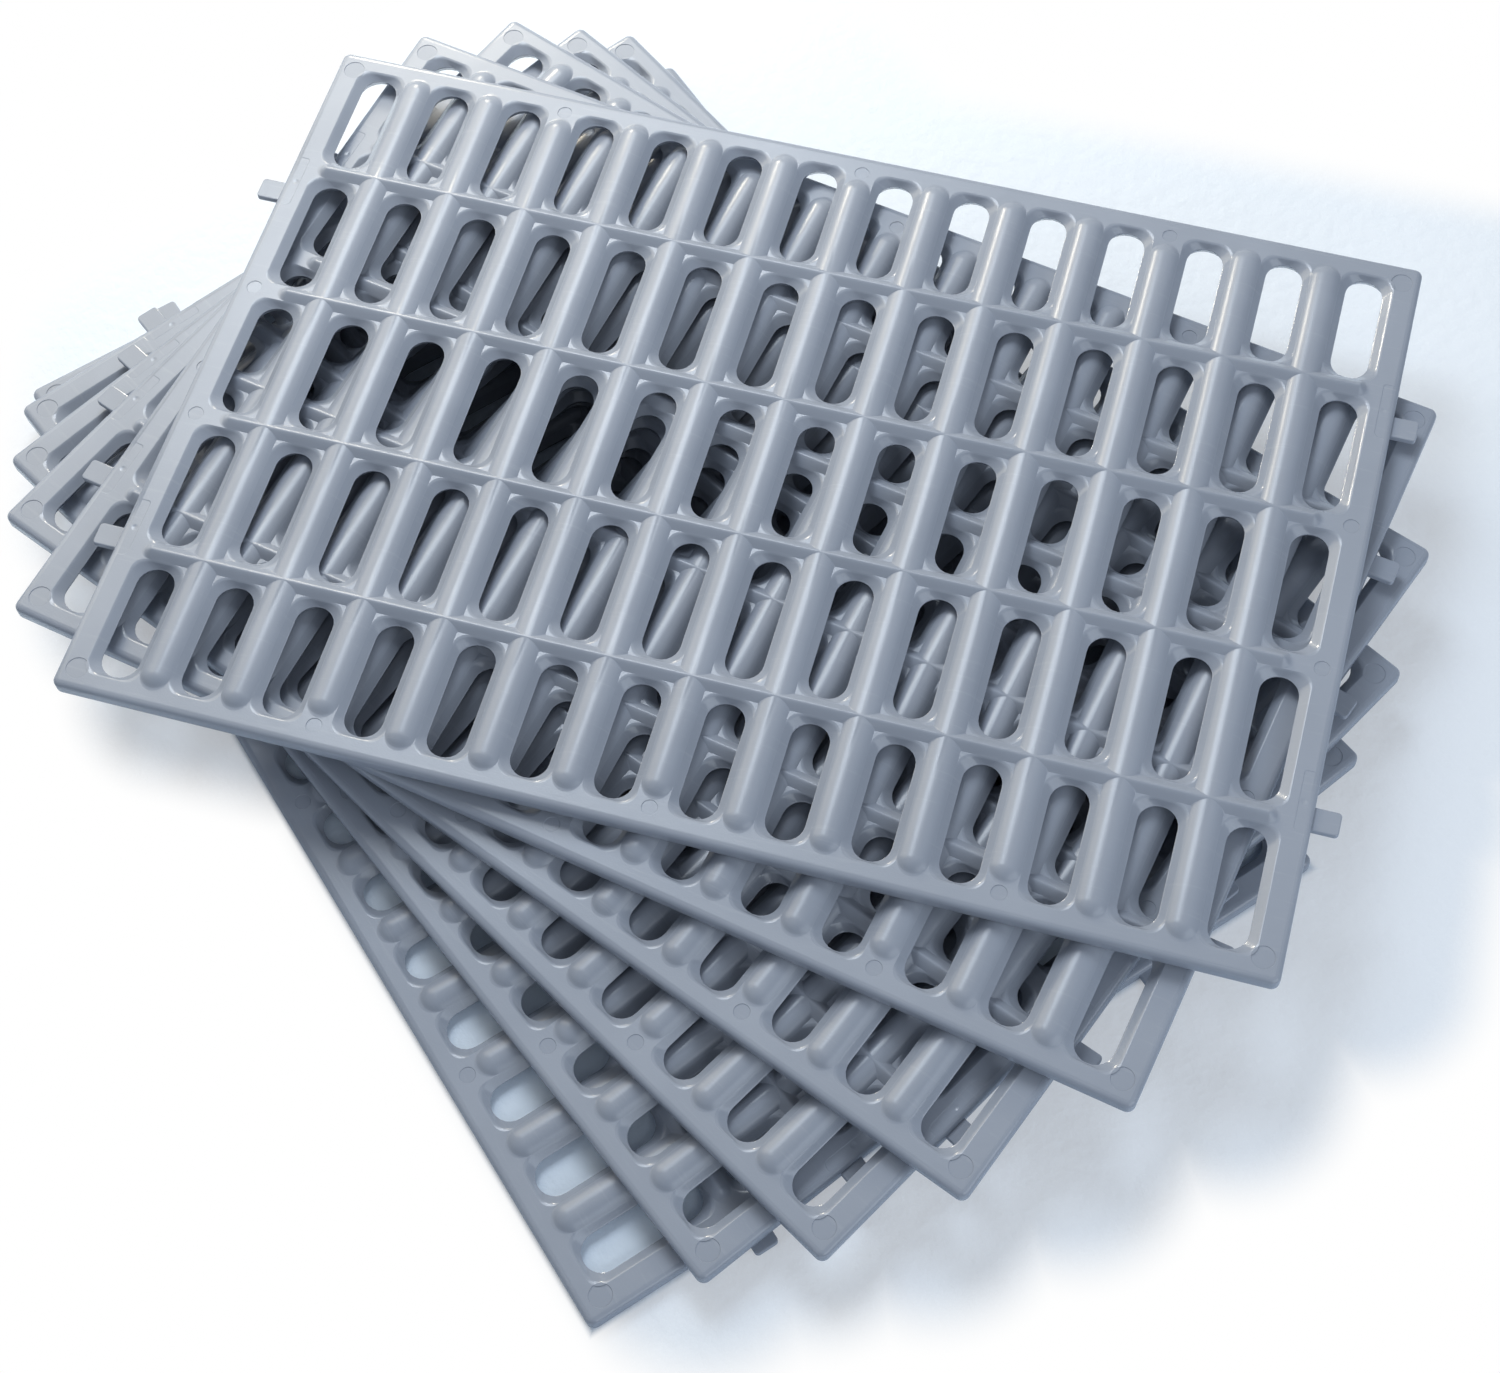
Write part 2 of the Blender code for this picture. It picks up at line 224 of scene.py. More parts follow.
def loft(mesh, lines, heights, closed):
    """Faces between lines of equal length at their heights; climbing counter-clockwise lines face in."""
    rows = [[mesh.verts.new((p[0], p[1], h)) for p in line] for line, h in zip(lines, heights)]
    count = len(lines[0])
    for lower, upper in zip(rows, rows[1:]):
        for i in range(count if closed else count - 1):
            j = (i + 1) % count
            mesh.faces.new((lower[j], lower[i], upper[i], upper[j]))


def unit_object(mesh, name):
    """A helper object, in metres, from a part of the tray that was drawn in millimetres."""
    bmesh.ops.scale(mesh, vec=(MILLIMETRE,) * 3, verts=mesh.verts)
    data = bpy.data.meshes.new(name)
    mesh.to_mesh(data)
    mesh.free()
    unit = bpy.data.objects.new(name, data)
    bpy.context.scene.collection.objects.link(unit)
    return unit


def add_slot(mesh, cell, offset):
    """One slot: hole edge, drafted wall, lip, flat corners, bar and rib flanks and the ridge."""
    rim_x, rim_y, noses = cell
    lines = [hole(rim_x, rim_y, growth) for height, growth in WALL_PROFILE]
    heights = [height for height, growth in WALL_PROFILE]
    edges = [mouth(rim_x, rim_y, level) for level in MOUTH_EDGE]
    edge_heights = [PLATE_TOP - level[0] for level in MOUTH_EDGE]
    lip, lip_height = lines[-1], heights[-1]
    wall_height = edge_heights[0] - lip_height
    lines += [lip + share * (edges[0] - lip) for share in WALL_SHARES] + edges
    heights += [lip_height + share * wall_height for share in WALL_SHARES] + edge_heights
    loft(mesh, [line + offset for line in lines], heights, True)
    tilts = FLANK_ANGLE * np.linspace(1.0, 0.0, CROWN_STEPS + 1)
    levels = list(NOSE_RUN_OUT)
    levels += [(CROWN - PLATE_TOP - CROWN_RADIUS * (1 - math.cos(tilt)), 0.0) for tilt in tilts]
    closed = not rim_x and not rim_y
    lines = [mouth(rim_x, rim_y, MOUTH_EDGE[-1])] if closed else []
    heights = [PLATE_TOP] if closed else []
    for level, run_out in levels:
        corner = MITRE_ROUND * (1 - level / levels[-1][0])
        lines.append(flank(cell, bar_half(level), rib_half(level), corner, run_out))
        heights.append(PLATE_TOP + level)
    loft(mesh, [line + offset for line in lines], heights, closed)
    tops = [CROWN + share * (RIDGE - CROWN) for share in RIDGE_STEPS]
    for side in ((-1,) if rim_y else (-1, 1)):
        lines = [ridge_line(cell, side, rib_half(top - PLATE_TOP)) + offset for top in tops]
        loft(mesh, lines, tops, False)


def slot_unit(cells, flip_x, flip_y):
    """A helper object with one slot or a group of slots, mirrored on the left and in front."""
    mesh = bmesh.new()
    for cell, offset in cells:
        add_slot(mesh, cell, np.array(offset))
    mirror = Matrix.Diagonal((-1.0 if flip_x else 1.0, -1.0 if flip_y else 1.0, 1.0, 1.0))
    bmesh.ops.transform(mesh, matrix=mirror, verts=mesh.verts)
    if flip_x != flip_y:
        bmesh.ops.reverse_faces(mesh, faces=mesh.faces)
    return unit_object(mesh, "slot_unit")


def end_group():
    """Four slots of an end row; the bar in the middle of the four stops short."""
    cells = []
    for column in range(GROUP_COLUMNS):
        left = SHORT_BAR_NOSE if column == GROUP_COLUMNS // 2 else LONG_BAR_NOSE
        right = SHORT_BAR_NOSE if column == GROUP_COLUMNS // 2 - 1 else LONG_BAR_NOSE
        offset = ((column - (GROUP_COLUMNS - 1) / 2) * COLUMN_PITCH, 0.0)
        cells.append(((False, True, (left, right)), offset))
    return cells


def side_group():
    """The three inner slots of a side column; the ribs beside the middle one stop short."""
    cells = []
    for row in range(INNER_ROWS):
        back = SHORT_RIB_NOSE if row < INNER_ROWS - 1 else LONG_RIB_NOSE
        front = SHORT_RIB_NOSE if row > 0 else LONG_RIB_NOSE
        offset = (0.0, (row - (INNER_ROWS - 1) / 2) * ROW_PITCH)
        cells.append(((True, False, (back, front)), offset))
    return cells


CORNER_SLOT = [((True, True, (LONG_BAR_NOSE, LONG_RIB_NOSE)), (0.0, 0.0))]
INNER_SLOT = [((False, False, ()), (0.0, 0.0))]
units = {}
for sign_x in (-1, 0, 1):
    for sign_y in (-1, 0, 1):
        if sign_x and sign_y:
            kind = CORNER_SLOT
        elif sign_x:
            kind = side_group()
        elif sign_y:
            kind = end_group()
        else:
            kind = INNER_SLOT
        units[(sign_x, sign_y)] = slot_unit(kind, sign_x < 0, sign_y < 0)

# The rim is a flat frame around the slots with rounded outer edges. The short edges carry flat joining tabs and
# faint landings, each with a shallow dimple; ejector pins have left marks beside the short bars and ribs.
HALF_LENGTH = 195.50
HALF_WIDTH = 132.50
RIM_CORNER = 2.70
EDGE_PROFILE = ((2.20, 5.30), (1.45, 5.22), (0.80, 5.00), (0.32, 4.62), (0.06, 4.12),
                (0.00, 3.60), (0.00, 0.55), (0.06, 0.26), (0.25, 0.06), (0.50, 0.00))
CONNECTOR_SPREAD = 72.70
TAB_OFFSET = 4.00
TAB_HALF_WIDTH = 3.95
TAB_REACH = 8.40
TAB_ROOT = 1.50
TAB_CORNER = 1.30
TAB_PROFILE = ((1.20, 0.25), (1.45, 0.00), (2.95, 0.00), (3.25, 0.12), (3.36, 0.40))
LANDING_HALF = 10.70
LANDING_WIDTH = 5.50
LANDING_DEPTH = 0.12
LANDING_RAMP = 0.30
LANDING_CORNER = 2.20
LANDING_SNAP = 0.01
SUNK_BAND = 1.0
DIMPLE_INSET = 3.90
DIMPLE = ((1.20, 0.00), (1.00, 0.02), (0.65, 0.09), (0.30, 0.13))
MARKS = ((189.20, 125.20, 3.70), (189.00, 26.55, 2.65),
         (GROUP_COLUMNS * COLUMN_PITCH, 125.20, 2.60), (0.0, 125.20, 2.60))
MARK_DEPTH = 0.20
MARK_RAMP = 0.12
MARK_STEPS = 28
FILL_SNAP = 1e-5
THIN_FACE = 1e-9


def border_cells():
    """Every slot on the border: its cell, its middle and how it is mirrored."""
    cells = []
    for sign_x in (-1, 1):
        for sign_y in (-1, 1):
            middle = (sign_x * SIDE_COLUMN, sign_y * END_ROW)
            cells.append((CORNER_SLOT[0][0], middle, (sign_x, sign_y)))
        for cell, offset in side_group():
            cells.append((cell, (sign_x * SIDE_COLUMN, offset[1]), (sign_x, 1)))
    for sign_y in (-1, 1):
        groups = INNER_COLUMNS // GROUP_COLUMNS
        for group in range(groups):
            shift = (group - (groups - 1) / 2) * GROUP_COLUMNS * COLUMN_PITCH
            for cell, offset in end_group():
                cells.append((cell, (shift + offset[0], sign_y * END_ROW), (1, sign_y)))
    return cells


def crossings(points, starts, ends):
    """How many of the given edges a ray to the right of each point crosses."""
    x, y = points[:, :1], points[:, 1:]
    over = (starts[:, 1] > y) != (ends[:, 1] > y)
    rise = np.where(ends[:, 1] == starts[:, 1], 1.0, ends[:, 1] - starts[:, 1])
    meet = starts[:, 0] + (y - starts[:, 1]) / rise * (ends[:, 0] - starts[:, 0])
    return np.sum(over & (meet > x), axis=1)


def flat_fill(mesh, loops, open_lines, height, up):
    """Triangles of the flat area inside the first loop, outside the other loops and the open lines."""
    points = []
    sets = []
    outlines = [(loop, True) for loop in loops] + [(line, False) for line in open_lines]
    for line, closed in outlines:
        first = len(points)
        points.extend(Vector((p[0], p[1])) for p in line)
        last = len(line) if closed else len(line) - 1
        sets.append([(first + i, first + (i + 1) % len(line)) for i in range(last)])
    edges = [pair for part in sets for pair in part]
    verts, _, faces, _, _, _ = delaunay_2d_cdt(points, edges, [], 0, FILL_SNAP)
    corners = np.array([(v.x, v.y) for v in verts])
    middles = np.array([corners[list(face)].mean(axis=0) for face in faces])
    source = np.array([(p.x, p.y) for p in points])
    inside = np.ones(len(faces), bool)
    for wanted, group in ((1, sets[:1]), (0, sets[1:len(loops)]), (0, sets[len(loops):])):
        pairs = np.array([pair for part in group for pair in part], int).reshape(-1, 2)
        inside &= crossings(middles, source[pairs[:, 0]], source[pairs[:, 1]]) % 2 == wanted
    made = [mesh.verts.new((c[0], c[1], height)) for c in corners]
    for face, keep in zip(faces, inside):
        a, b, c = (corners[i] for i in face)
        turn = (b[0] - a[0]) * (c[1] - a[1]) - (b[1] - a[1]) * (c[0] - a[0])
        if keep and abs(turn) > THIN_FACE:
            mesh.faces.new([made[i] for i in (face if (turn > 0) == up else face[::-1])])


def landing_stops():
    """Places along a short edge where a landing starts, reaches its depth, leaves it and ends."""
    flat = LANDING_HALF - LANDING_RAMP
    reach = (-LANDING_HALF, -flat, flat, LANDING_HALF)
    return [middle + y for middle in (-CONNECTOR_SPREAD, CONNECTOR_SPREAD) for y in reach]


def rim_outline(inset):
    """The tray's outer edge drawn in by an inset, with the ends of the landings among its points."""
    x, y, radius = HALF_LENGTH - inset, HALF_WIDTH - inset, RIM_CORNER - inset
    stops = landing_stops()
    right = [(x, stop) for stop in stops]
    left = [(-x, stop) for stop in reversed(stops)]
    return np.concatenate([arc((x - radius, y - radius), radius, 0, 90, ARC_STEPS),
                           arc((radius - x, y - radius), radius, 90, 180, ARC_STEPS), left,
                           arc((radius - x, radius - y), radius, 180, 270, ARC_STEPS),
                           arc((x - radius, radius - y), radius, 270, 360, ARC_STEPS), right])


def landing_line(side, middle, ramp):
    """The edge of a landing from its back end round to its front end, drawn in by the ramp."""
    outer = HALF_LENGTH - EDGE_PROFILE[0][0]
    inner = HALF_LENGTH - LANDING_WIDTH + ramp
    radius = LANDING_CORNER - ramp
    back, front = middle + LANDING_HALF - ramp, middle - LANDING_HALF + ramp
    small = radius / 2
    line = np.concatenate([[(outer, back)],
                           arc((inner + small, back - small), small, 90, 180, ARC_STEPS),
                           arc((inner + radius, front + radius), radius, 180, 270, ARC_STEPS),
                           [(outer, front)]])
    return line if side > 0 else (line * (-1, 1))[::-1]


def add_landing(mesh, side, middle):
    """One landing: its step, its floor and the dimple in it. Returns the landing's edge as a loop."""
    upper = landing_line(side, middle, 0.0)
    lower = landing_line(side, middle, LANDING_RAMP)
    floor = PLATE_TOP - LANDING_DEPTH
    loft(mesh, [lower, upper], [floor, PLATE_TOP], False)
    place = (side * (HALF_LENGTH - DIMPLE_INSET), middle)
    rings = [arc(place, radius, 0, 360, MARK_STEPS)[:-1] for radius, depth in DIMPLE]
    depths = [floor - depth for radius, depth in DIMPLE]
    flat_fill(mesh, [lower, rings[0]], [], floor, True)
    loft(mesh, rings[::-1], depths[::-1], True)
    mesh.faces.new([mesh.verts.new((p[0], p[1], depths[-1])) for p in rings[-1]])
    flat = LANDING_HALF - LANDING_RAMP
    stops = [middle - side * flat, middle + side * flat]
    return np.concatenate([upper, [(upper[0][0], y) for y in stops]])


def add_mark(mesh, loop, middle):
    """A shallow round ejector mark with a sloping step."""
    inner = middle + (loop - middle) * (1 - MARK_RAMP / np.linalg.norm(loop[0] - middle))
    loft(mesh, [inner, loop], [PLATE_TOP - MARK_DEPTH, PLATE_TOP], True)
    mesh.faces.new([mesh.verts.new((p[0], p[1], PLATE_TOP - MARK_DEPTH)) for p in inner])


def add_tab(mesh, side, middle):
    """A flat joining tab with rounded corners, rooted in the rim."""
    near, far = sorted((side * (HALF_LENGTH - TAB_ROOT), side * (HALF_LENGTH + TAB_REACH)))
    low, high = middle - TAB_OFFSET - TAB_HALF_WIDTH, middle - TAB_OFFSET + TAB_HALF_WIDTH
    lines = [rounded(near + inset, far - inset, low + inset, high - inset, TAB_CORNER - inset)
             for height, inset in TAB_PROFILE]
    heights = [height for height, inset in TAB_PROFILE]
    loft(mesh, lines[::-1], heights[::-1], True)
    mesh.faces.new([mesh.verts.new((p[0], p[1], heights[-1])) for p in lines[-1]])
    mesh.faces.new([mesh.verts.new((p[0], p[1], heights[0])) for p in lines[0][::-1]])


def rim_frame():
    """The rim, the underside, the landings, the marks and the tabs as one helper object."""
    mesh = bmesh.new()
    outlines = [rim_outline(inset) for inset, height in EDGE_PROFILE]
    loft(mesh, outlines, [height for inset, height in EDGE_PROFILE], True)
    stops = landing_stops()
    for vert in mesh.verts:
        sunk = any(low - LANDING_SNAP < vert.co.y < high + LANDING_SNAP
                   for low, high in (stops[1:3], stops[5:7]))
        if sunk and vert.co.z > PLATE_TOP - SUNK_BAND:
            vert.co.z -= LANDING_DEPTH
    loops = [outlines[0]]
    noses = []
    holes = []
    for cell, middle, signs in border_cells():
        rim_x, rim_y, _ = cell
        loops.append(mouth(rim_x, rim_y, MOUTH_EDGE[-1]) * signs + middle)
        line = flank(cell, BAR_HALF, RIB_HALF, MITRE_ROUND, NOSE_RUN_OUT[0][1])
        noses.append(line * signs + middle)
        holes.append(hole(rim_x, rim_y, WALL_PROFILE[0][1]) * signs + middle)
    for column in range(INNER_COLUMNS):
        for row in range(INNER_ROWS):
            middle = ((column - (INNER_COLUMNS - 1) / 2) * COLUMN_PITCH,
                      (row - (INNER_ROWS - 1) / 2) * ROW_PITCH)
            holes.append(hole(False, False, WALL_PROFILE[0][1]) + middle)
    for side in (-1, 1):
        for middle in (-CONNECTOR_SPREAD, CONNECTOR_SPREAD):
            loops.append(add_landing(mesh, side, middle))
            add_tab(mesh, side, middle)
    marks = {(side * x, end * y, radius) for x, y, radius in MARKS
             for side in (-1, 1) for end in (-1, 1)}
    for x, y, radius in sorted(marks):
        loops.append(arc((x, y), radius, 0, 360, MARK_STEPS)[:-1])
        add_mark(mesh, loops[-1], np.array((x, y)))
    flat_fill(mesh, loops, noses, PLATE_TOP, True)
    flat_fill(mesh, [outlines[-1]] + holes, [], 0.0, False)
    return unit_object(mesh, "rim_frame")


rim = rim_frame()

# The plastic is a blue-grey polypropylene: an even body colour with faint flow marks, a fine grain on the upper
# faces, a smoother polish down in the slots and light rubbing in stretched streaks.
BODY_COLOUR = (0.322, 0.351, 0.410, 1.0)
FLOW_COLOUR = (0.298, 0.326, 0.383, 1.0)
RUBBED_COLOUR = (0.385, 0.408, 0.455, 1.0)
GRAIN_ROUGHNESS = 0.28
POLISH_ROUGHNESS = 0.15
POLISH_DEPTHS = (0.02, 0.28)
SPECULAR_LEVEL = 0.5
PLASTIC_IOR = 1.49
FLOW_SCALE = 14.0
FLOW_DETAIL = 3.0
FLOW_DISTORTION = 1.2
FLOW_RANGE = (0.35, 0.62)
GRAIN_SCALE = 1500.0
GRAIN_DETAIL = 2.0
GRAIN_STRENGTH = 0.06
GRAIN_HEIGHT = 0.0004
RUB_STRETCH = (60.0, 900.0, 60.0)
RUB_TURN = (0.0, 0.0, 0.6)
RUB_DETAIL = 3.0
RUB_RANGE = (0.60, 0.72)
RUB_SHARE = 0.30


def moulded_skin():
    """Node group: masks of flow marks, grain, rubbing and polish, read at a place in the moulding."""
    group = bpy.data.node_groups.new("moulded_skin", "ShaderNodeTree")
    group.interface.new_socket("Place", in_out="INPUT", socket_type="NodeSocketVector")
    for name in ("Flow", "Grain", "Rubbing", "Polish"):
        group.interface.new_socket(name, in_out="OUTPUT", socket_type="NodeSocketFloat")
    entry = group.nodes.new("NodeGroupInput")
    leave = group.nodes.new("NodeGroupOutput")
    flow = group.nodes.new("ShaderNodeTexNoise")
    flow.inputs["Scale"].default_value = FLOW_SCALE
    flow.inputs["Detail"].default_value = FLOW_DETAIL
    flow.inputs["Distortion"].default_value = FLOW_DISTORTION
    grain = group.nodes.new("ShaderNodeTexNoise")
    grain.inputs["Scale"].default_value = GRAIN_SCALE
    grain.inputs["Detail"].default_value = GRAIN_DETAIL
    stretch = group.nodes.new("ShaderNodeMapping")
    stretch.inputs["Scale"].default_value = RUB_STRETCH
    stretch.inputs["Rotation"].default_value = RUB_TURN
    scratch = group.nodes.new("ShaderNodeTexNoise")
    scratch.inputs["Scale"].default_value = 1.0
    scratch.inputs["Detail"].default_value = RUB_DETAIL
    cut = group.nodes.new("ShaderNodeMapRange")
    cut.inputs["From Min"].default_value = RUB_RANGE[0]
    cut.inputs["From Max"].default_value = RUB_RANGE[1]
    part = group.nodes.new("ShaderNodeSeparateXYZ")
    depth = group.nodes.new("ShaderNodeMapRange")
    depth.inputs["From Min"].default_value = (PLATE_TOP - POLISH_DEPTHS[0]) * MILLIMETRE
    depth.inputs["From Max"].default_value = (PLATE_TOP - POLISH_DEPTHS[1]) * MILLIMETRE
    links = group.links
    links.new(entry.outputs["Place"], flow.inputs["Vector"])
    links.new(entry.outputs["Place"], grain.inputs["Vector"])
    links.new(entry.outputs["Place"], stretch.inputs["Vector"])
    links.new(entry.outputs["Place"], part.inputs["Vector"])
    links.new(stretch.outputs["Vector"], scratch.inputs["Vector"])
    links.new(scratch.outputs["Fac"], cut.inputs["Value"])
    links.new(part.outputs["Z"], depth.inputs["Value"])
    links.new(flow.outputs["Fac"], leave.inputs["Flow"])
    links.new(grain.outputs["Fac"], leave.inputs["Grain"])
    links.new(cut.outputs["Result"], leave.inputs["Rubbing"])
    links.new(depth.outputs["Result"], leave.inputs["Polish"])
    return group


def tray_plastic():
    """The plastic of all six trays."""
    material = bpy.data.materials.new("blue_grey_polypropylene")
    material.use_nodes = True
    nodes = material.node_tree.nodes
    links = material.node_tree.links
    surface = nodes["Principled BSDF"]
    surface.inputs["Specular IOR Level"].default_value = SPECULAR_LEVEL
    surface.inputs["IOR"].default_value = PLASTIC_IOR
    place = nodes.new("ShaderNodeAttribute")
    place.attribute_name = "moulding_place"
    skin = nodes.new("ShaderNodeGroup")
    skin.node_tree = moulded_skin()
    links.new(place.outputs["Vector"], skin.inputs["Place"])
    body = nodes.new("ShaderNodeMix")
    body.data_type = "RGBA"
    body.inputs["A"].default_value = FLOW_COLOUR
    body.inputs["B"].default_value = BODY_COLOUR
    flow_range = nodes.new("ShaderNodeMapRange")
    flow_range.inputs["From Min"].default_value = FLOW_RANGE[0]
    flow_range.inputs["From Max"].default_value = FLOW_RANGE[1]
    links.new(skin.outputs["Flow"], flow_range.inputs["Value"])
    links.new(flow_range.outputs["Result"], body.inputs["Factor"])
    rub_share = nodes.new("ShaderNodeMath")
    rub_share.operation = "MULTIPLY"
    rub_share.inputs[1].default_value = RUB_SHARE
    links.new(skin.outputs["Rubbing"], rub_share.inputs[0])
    rubbed = nodes.new("ShaderNodeMix")
    rubbed.data_type = "RGBA"
    rubbed.inputs["B"].default_value = RUBBED_COLOUR
    links.new(body.outputs["Result"], rubbed.inputs["A"])
    links.new(rub_share.outputs["Value"], rubbed.inputs["Factor"])
    links.new(rubbed.outputs["Result"], surface.inputs["Base Color"])
    gloss = nodes.new("ShaderNodeMapRange")
    gloss.inputs["To Min"].default_value = GRAIN_ROUGHNESS
    gloss.inputs["To Max"].default_value = POLISH_ROUGHNESS
    links.new(skin.outputs["Polish"], gloss.inputs["Value"])
    links.new(gloss.outputs["Result"], surface.inputs["Roughness"])
    bump = nodes.new("ShaderNodeBump")
    bump.inputs["Strength"].default_value = GRAIN_STRENGTH
    bump.inputs["Distance"].default_value = GRAIN_HEIGHT
    links.new(skin.outputs["Grain"], bump.inputs["Height"])
    links.new(bump.outputs["Normal"], surface.inputs["Normal"])
    return material


# One tray is patterned from the slot units and the rim by a node tree, then welded into a single skin. Every
# point keeps its place in the moulding, so that the marks of the mould are the same on all six trays.
WELD = 0.00001
CREASE_ANGLE = 36.0
FLAT_NORMAL = 0.9999
DEGENERATE = 1e-7


def math_node(tree, operation, one, two):
    """A math node in a tree, on two sockets or numbers."""
    node = tree.nodes.new("ShaderNodeMath")
    node.operation = operation
    for socket, value in zip(node.inputs, (one, two)):
        if isinstance(value, float):
            socket.default_value = value
        else:
            tree.links.new(value, socket)
    return node.outputs["Value"]


def pattern_tree(units, rim, plastic):
    """Node tree: each kind of slot unit on its own grid of points, joined with the rim and welded."""
    tree = bpy.data.node_groups.new("slot_pattern", "GeometryNodeTree")
    sockets = {}
    for name, kind in (("Geometry", "NodeSocketGeometry"), ("Inner columns", "NodeSocketInt"),
                       ("Inner rows", "NodeSocketInt"), ("Group columns", "NodeSocketInt"),
                       ("Column pitch", "NodeSocketFloat"), ("Row pitch", "NodeSocketFloat"),
                       ("Side column", "NodeSocketFloat"), ("End row", "NodeSocketFloat"),
                       ("Weld", "NodeSocketFloat")):
        sockets[name] = tree.interface.new_socket(name, in_out="INPUT", socket_type=kind).identifier
    tree.interface.new_socket("Geometry", in_out="OUTPUT", socket_type="NodeSocketGeometry")
    nodes = tree.nodes
    links = tree.links
    entry = nodes.new("NodeGroupInput").outputs
    leave = nodes.new("NodeGroupOutput")
    join = nodes.new("GeometryNodeJoinGeometry")
    groups = math_node(tree, "DIVIDE", entry["Inner columns"], entry["Group columns"])
    group_pitch = math_node(tree, "MULTIPLY", entry["Group columns"], entry["Column pitch"])
    columns = (entry["Inner columns"], entry["Column pitch"])
    rows = (entry["Inner rows"], entry["Row pitch"])
    end_row = ((groups, group_pitch), None)
    grids = {(0, 0): (columns, rows), (0, 1): end_row, (0, -1): end_row}
    for signs, unit in units.items():
        grid = nodes.new("GeometryNodeMeshGrid")
        for axis, pattern in zip("XY", grids.get(signs, (None, None))):
            if pattern:
                less = math_node(tree, "SUBTRACT", pattern[0], 1.0)
                links.new(pattern[0], grid.inputs["Vertices " + axis])
                links.new(math_node(tree, "MULTIPLY", less, pattern[1]), grid.inputs["Size " + axis])
            else:
                grid.inputs["Vertices " + axis].default_value = 1
                grid.inputs["Size " + axis].default_value = 0.0
        offset = nodes.new("ShaderNodeCombineXYZ")
        for axis, reach, sign in zip("XY", ("Side column", "End row"), signs):
            links.new(math_node(tree, "MULTIPLY", entry[reach], float(sign)), offset.inputs[axis])
        place = nodes.new("GeometryNodeTransform")
        links.new(grid.outputs["Mesh"], place.inputs["Geometry"])
        links.new(offset.outputs["Vector"], place.inputs["Translation"])
        source = nodes.new("GeometryNodeObjectInfo")
        source.inputs["Object"].default_value = unit
        spread = nodes.new("GeometryNodeInstanceOnPoints")
        links.new(place.outputs["Geometry"], spread.inputs["Points"])
        links.new(source.outputs["Geometry"], spread.inputs["Instance"])
        links.new(spread.outputs["Instances"], join.inputs["Geometry"])
    border = nodes.new("GeometryNodeObjectInfo")
    border.inputs["Object"].default_value = rim
    links.new(border.outputs["Geometry"], join.inputs["Geometry"])
    real = nodes.new("GeometryNodeRealizeInstances")
    weld = nodes.new("GeometryNodeMergeByDistance")
    keep = nodes.new("GeometryNodeStoreNamedAttribute")
    keep.data_type = "FLOAT_VECTOR"
    keep.domain = "POINT"
    keep.inputs["Name"].default_value = "moulding_place"
    paint = nodes.new("GeometryNodeSetMaterial")
    paint.inputs["Material"].default_value = plastic
    links.new(join.outputs["Geometry"], real.inputs["Geometry"])
    links.new(real.outputs["Geometry"], weld.inputs["Geometry"])
    links.new(entry["Weld"], weld.inputs["Distance"])
    links.new(weld.outputs["Geometry"], keep.inputs["Geometry"])
    links.new(nodes.new("GeometryNodeInputPosition").outputs["Position"], keep.inputs["Value"])
    links.new(keep.outputs["Geometry"], paint.inputs["Geometry"])
    links.new(paint.outputs["Geometry"], leave.inputs["Geometry"])
    return tree, sockets


def crease(data):
    """Smooth shading, with hard lines at sharp corners and around the flat faces."""
    mesh = bmesh.new()
    mesh.from_mesh(data)
    bmesh.ops.dissolve_degenerate(mesh, dist=DEGENERATE, edges=mesh.edges)
    mesh.normal_update()
    for face in mesh.faces:
        face.smooth = True
    for edge in mesh.edges:
        if len(edge.link_faces) == 2:
            one, two = (abs(face.normal.z) > FLAT_NORMAL for face in edge.link_faces)
            gentle = edge.calc_face_angle(0.0) < math.radians(CREASE_ANGLE)
            edge.smooth = one == two and gentle
    mesh.to_mesh(data)
    mesh.free()


tree, sockets = pattern_tree(units, rim, tray_plastic())
pattern = bpy.data.objects.new("tray_pattern", bpy.data.meshes.new("tray_pattern"))
bpy.context.scene.collection.objects.link(pattern)
modifier = pattern.modifiers.new("slot_pattern", "NODES")
modifier.node_group = tree
for name, value in (("Inner columns", INNER_COLUMNS), ("Inner rows", INNER_ROWS),
                    ("Group columns", GROUP_COLUMNS), ("Column pitch", COLUMN_PITCH * MILLIMETRE),
                    ("Row pitch", ROW_PITCH * MILLIMETRE), ("Side column", SIDE_COLUMN * MILLIMETRE),
                    ("End row", END_ROW * MILLIMETRE), ("Weld", WELD)):
    modifier[sockets[name]] = value
graph = bpy.context.evaluated_depsgraph_get()
tray_skin = bpy.data.meshes.new_from_object(pattern.evaluated_get(graph))
tray_skin.name = "tray_skin"
crease(tray_skin)
for helper in [pattern, rim] + list(units.values()):
    bpy.data.objects.remove(helper)

# The six trays lie fanned on one another, tray 6 on the floor and tray 1 on top. Each stands where its joint's
# pivot and its turn from the squared-up stack put it.
TRAY_BODIES = ("tray_6", "tray_5", "tray_4", "tray_3", "tray_2", "tray_1")


def tray_place():
    """The place of every tray in the fan, from the joints of the frame."""
    places = {TRAY_BODIES[0]: Matrix.Identity(4)}
    for joint in frame["joints"]:
        pivot = Matrix.Translation(Vector(joint["pos_m"]))
        turn = Matrix.Rotation(math.radians(-joint["range_deg"][0]), 4, "Z")
        places[joint["child"]] = pivot @ turn @ pivot.inverted() @ places[joint["parent"]]
    return places


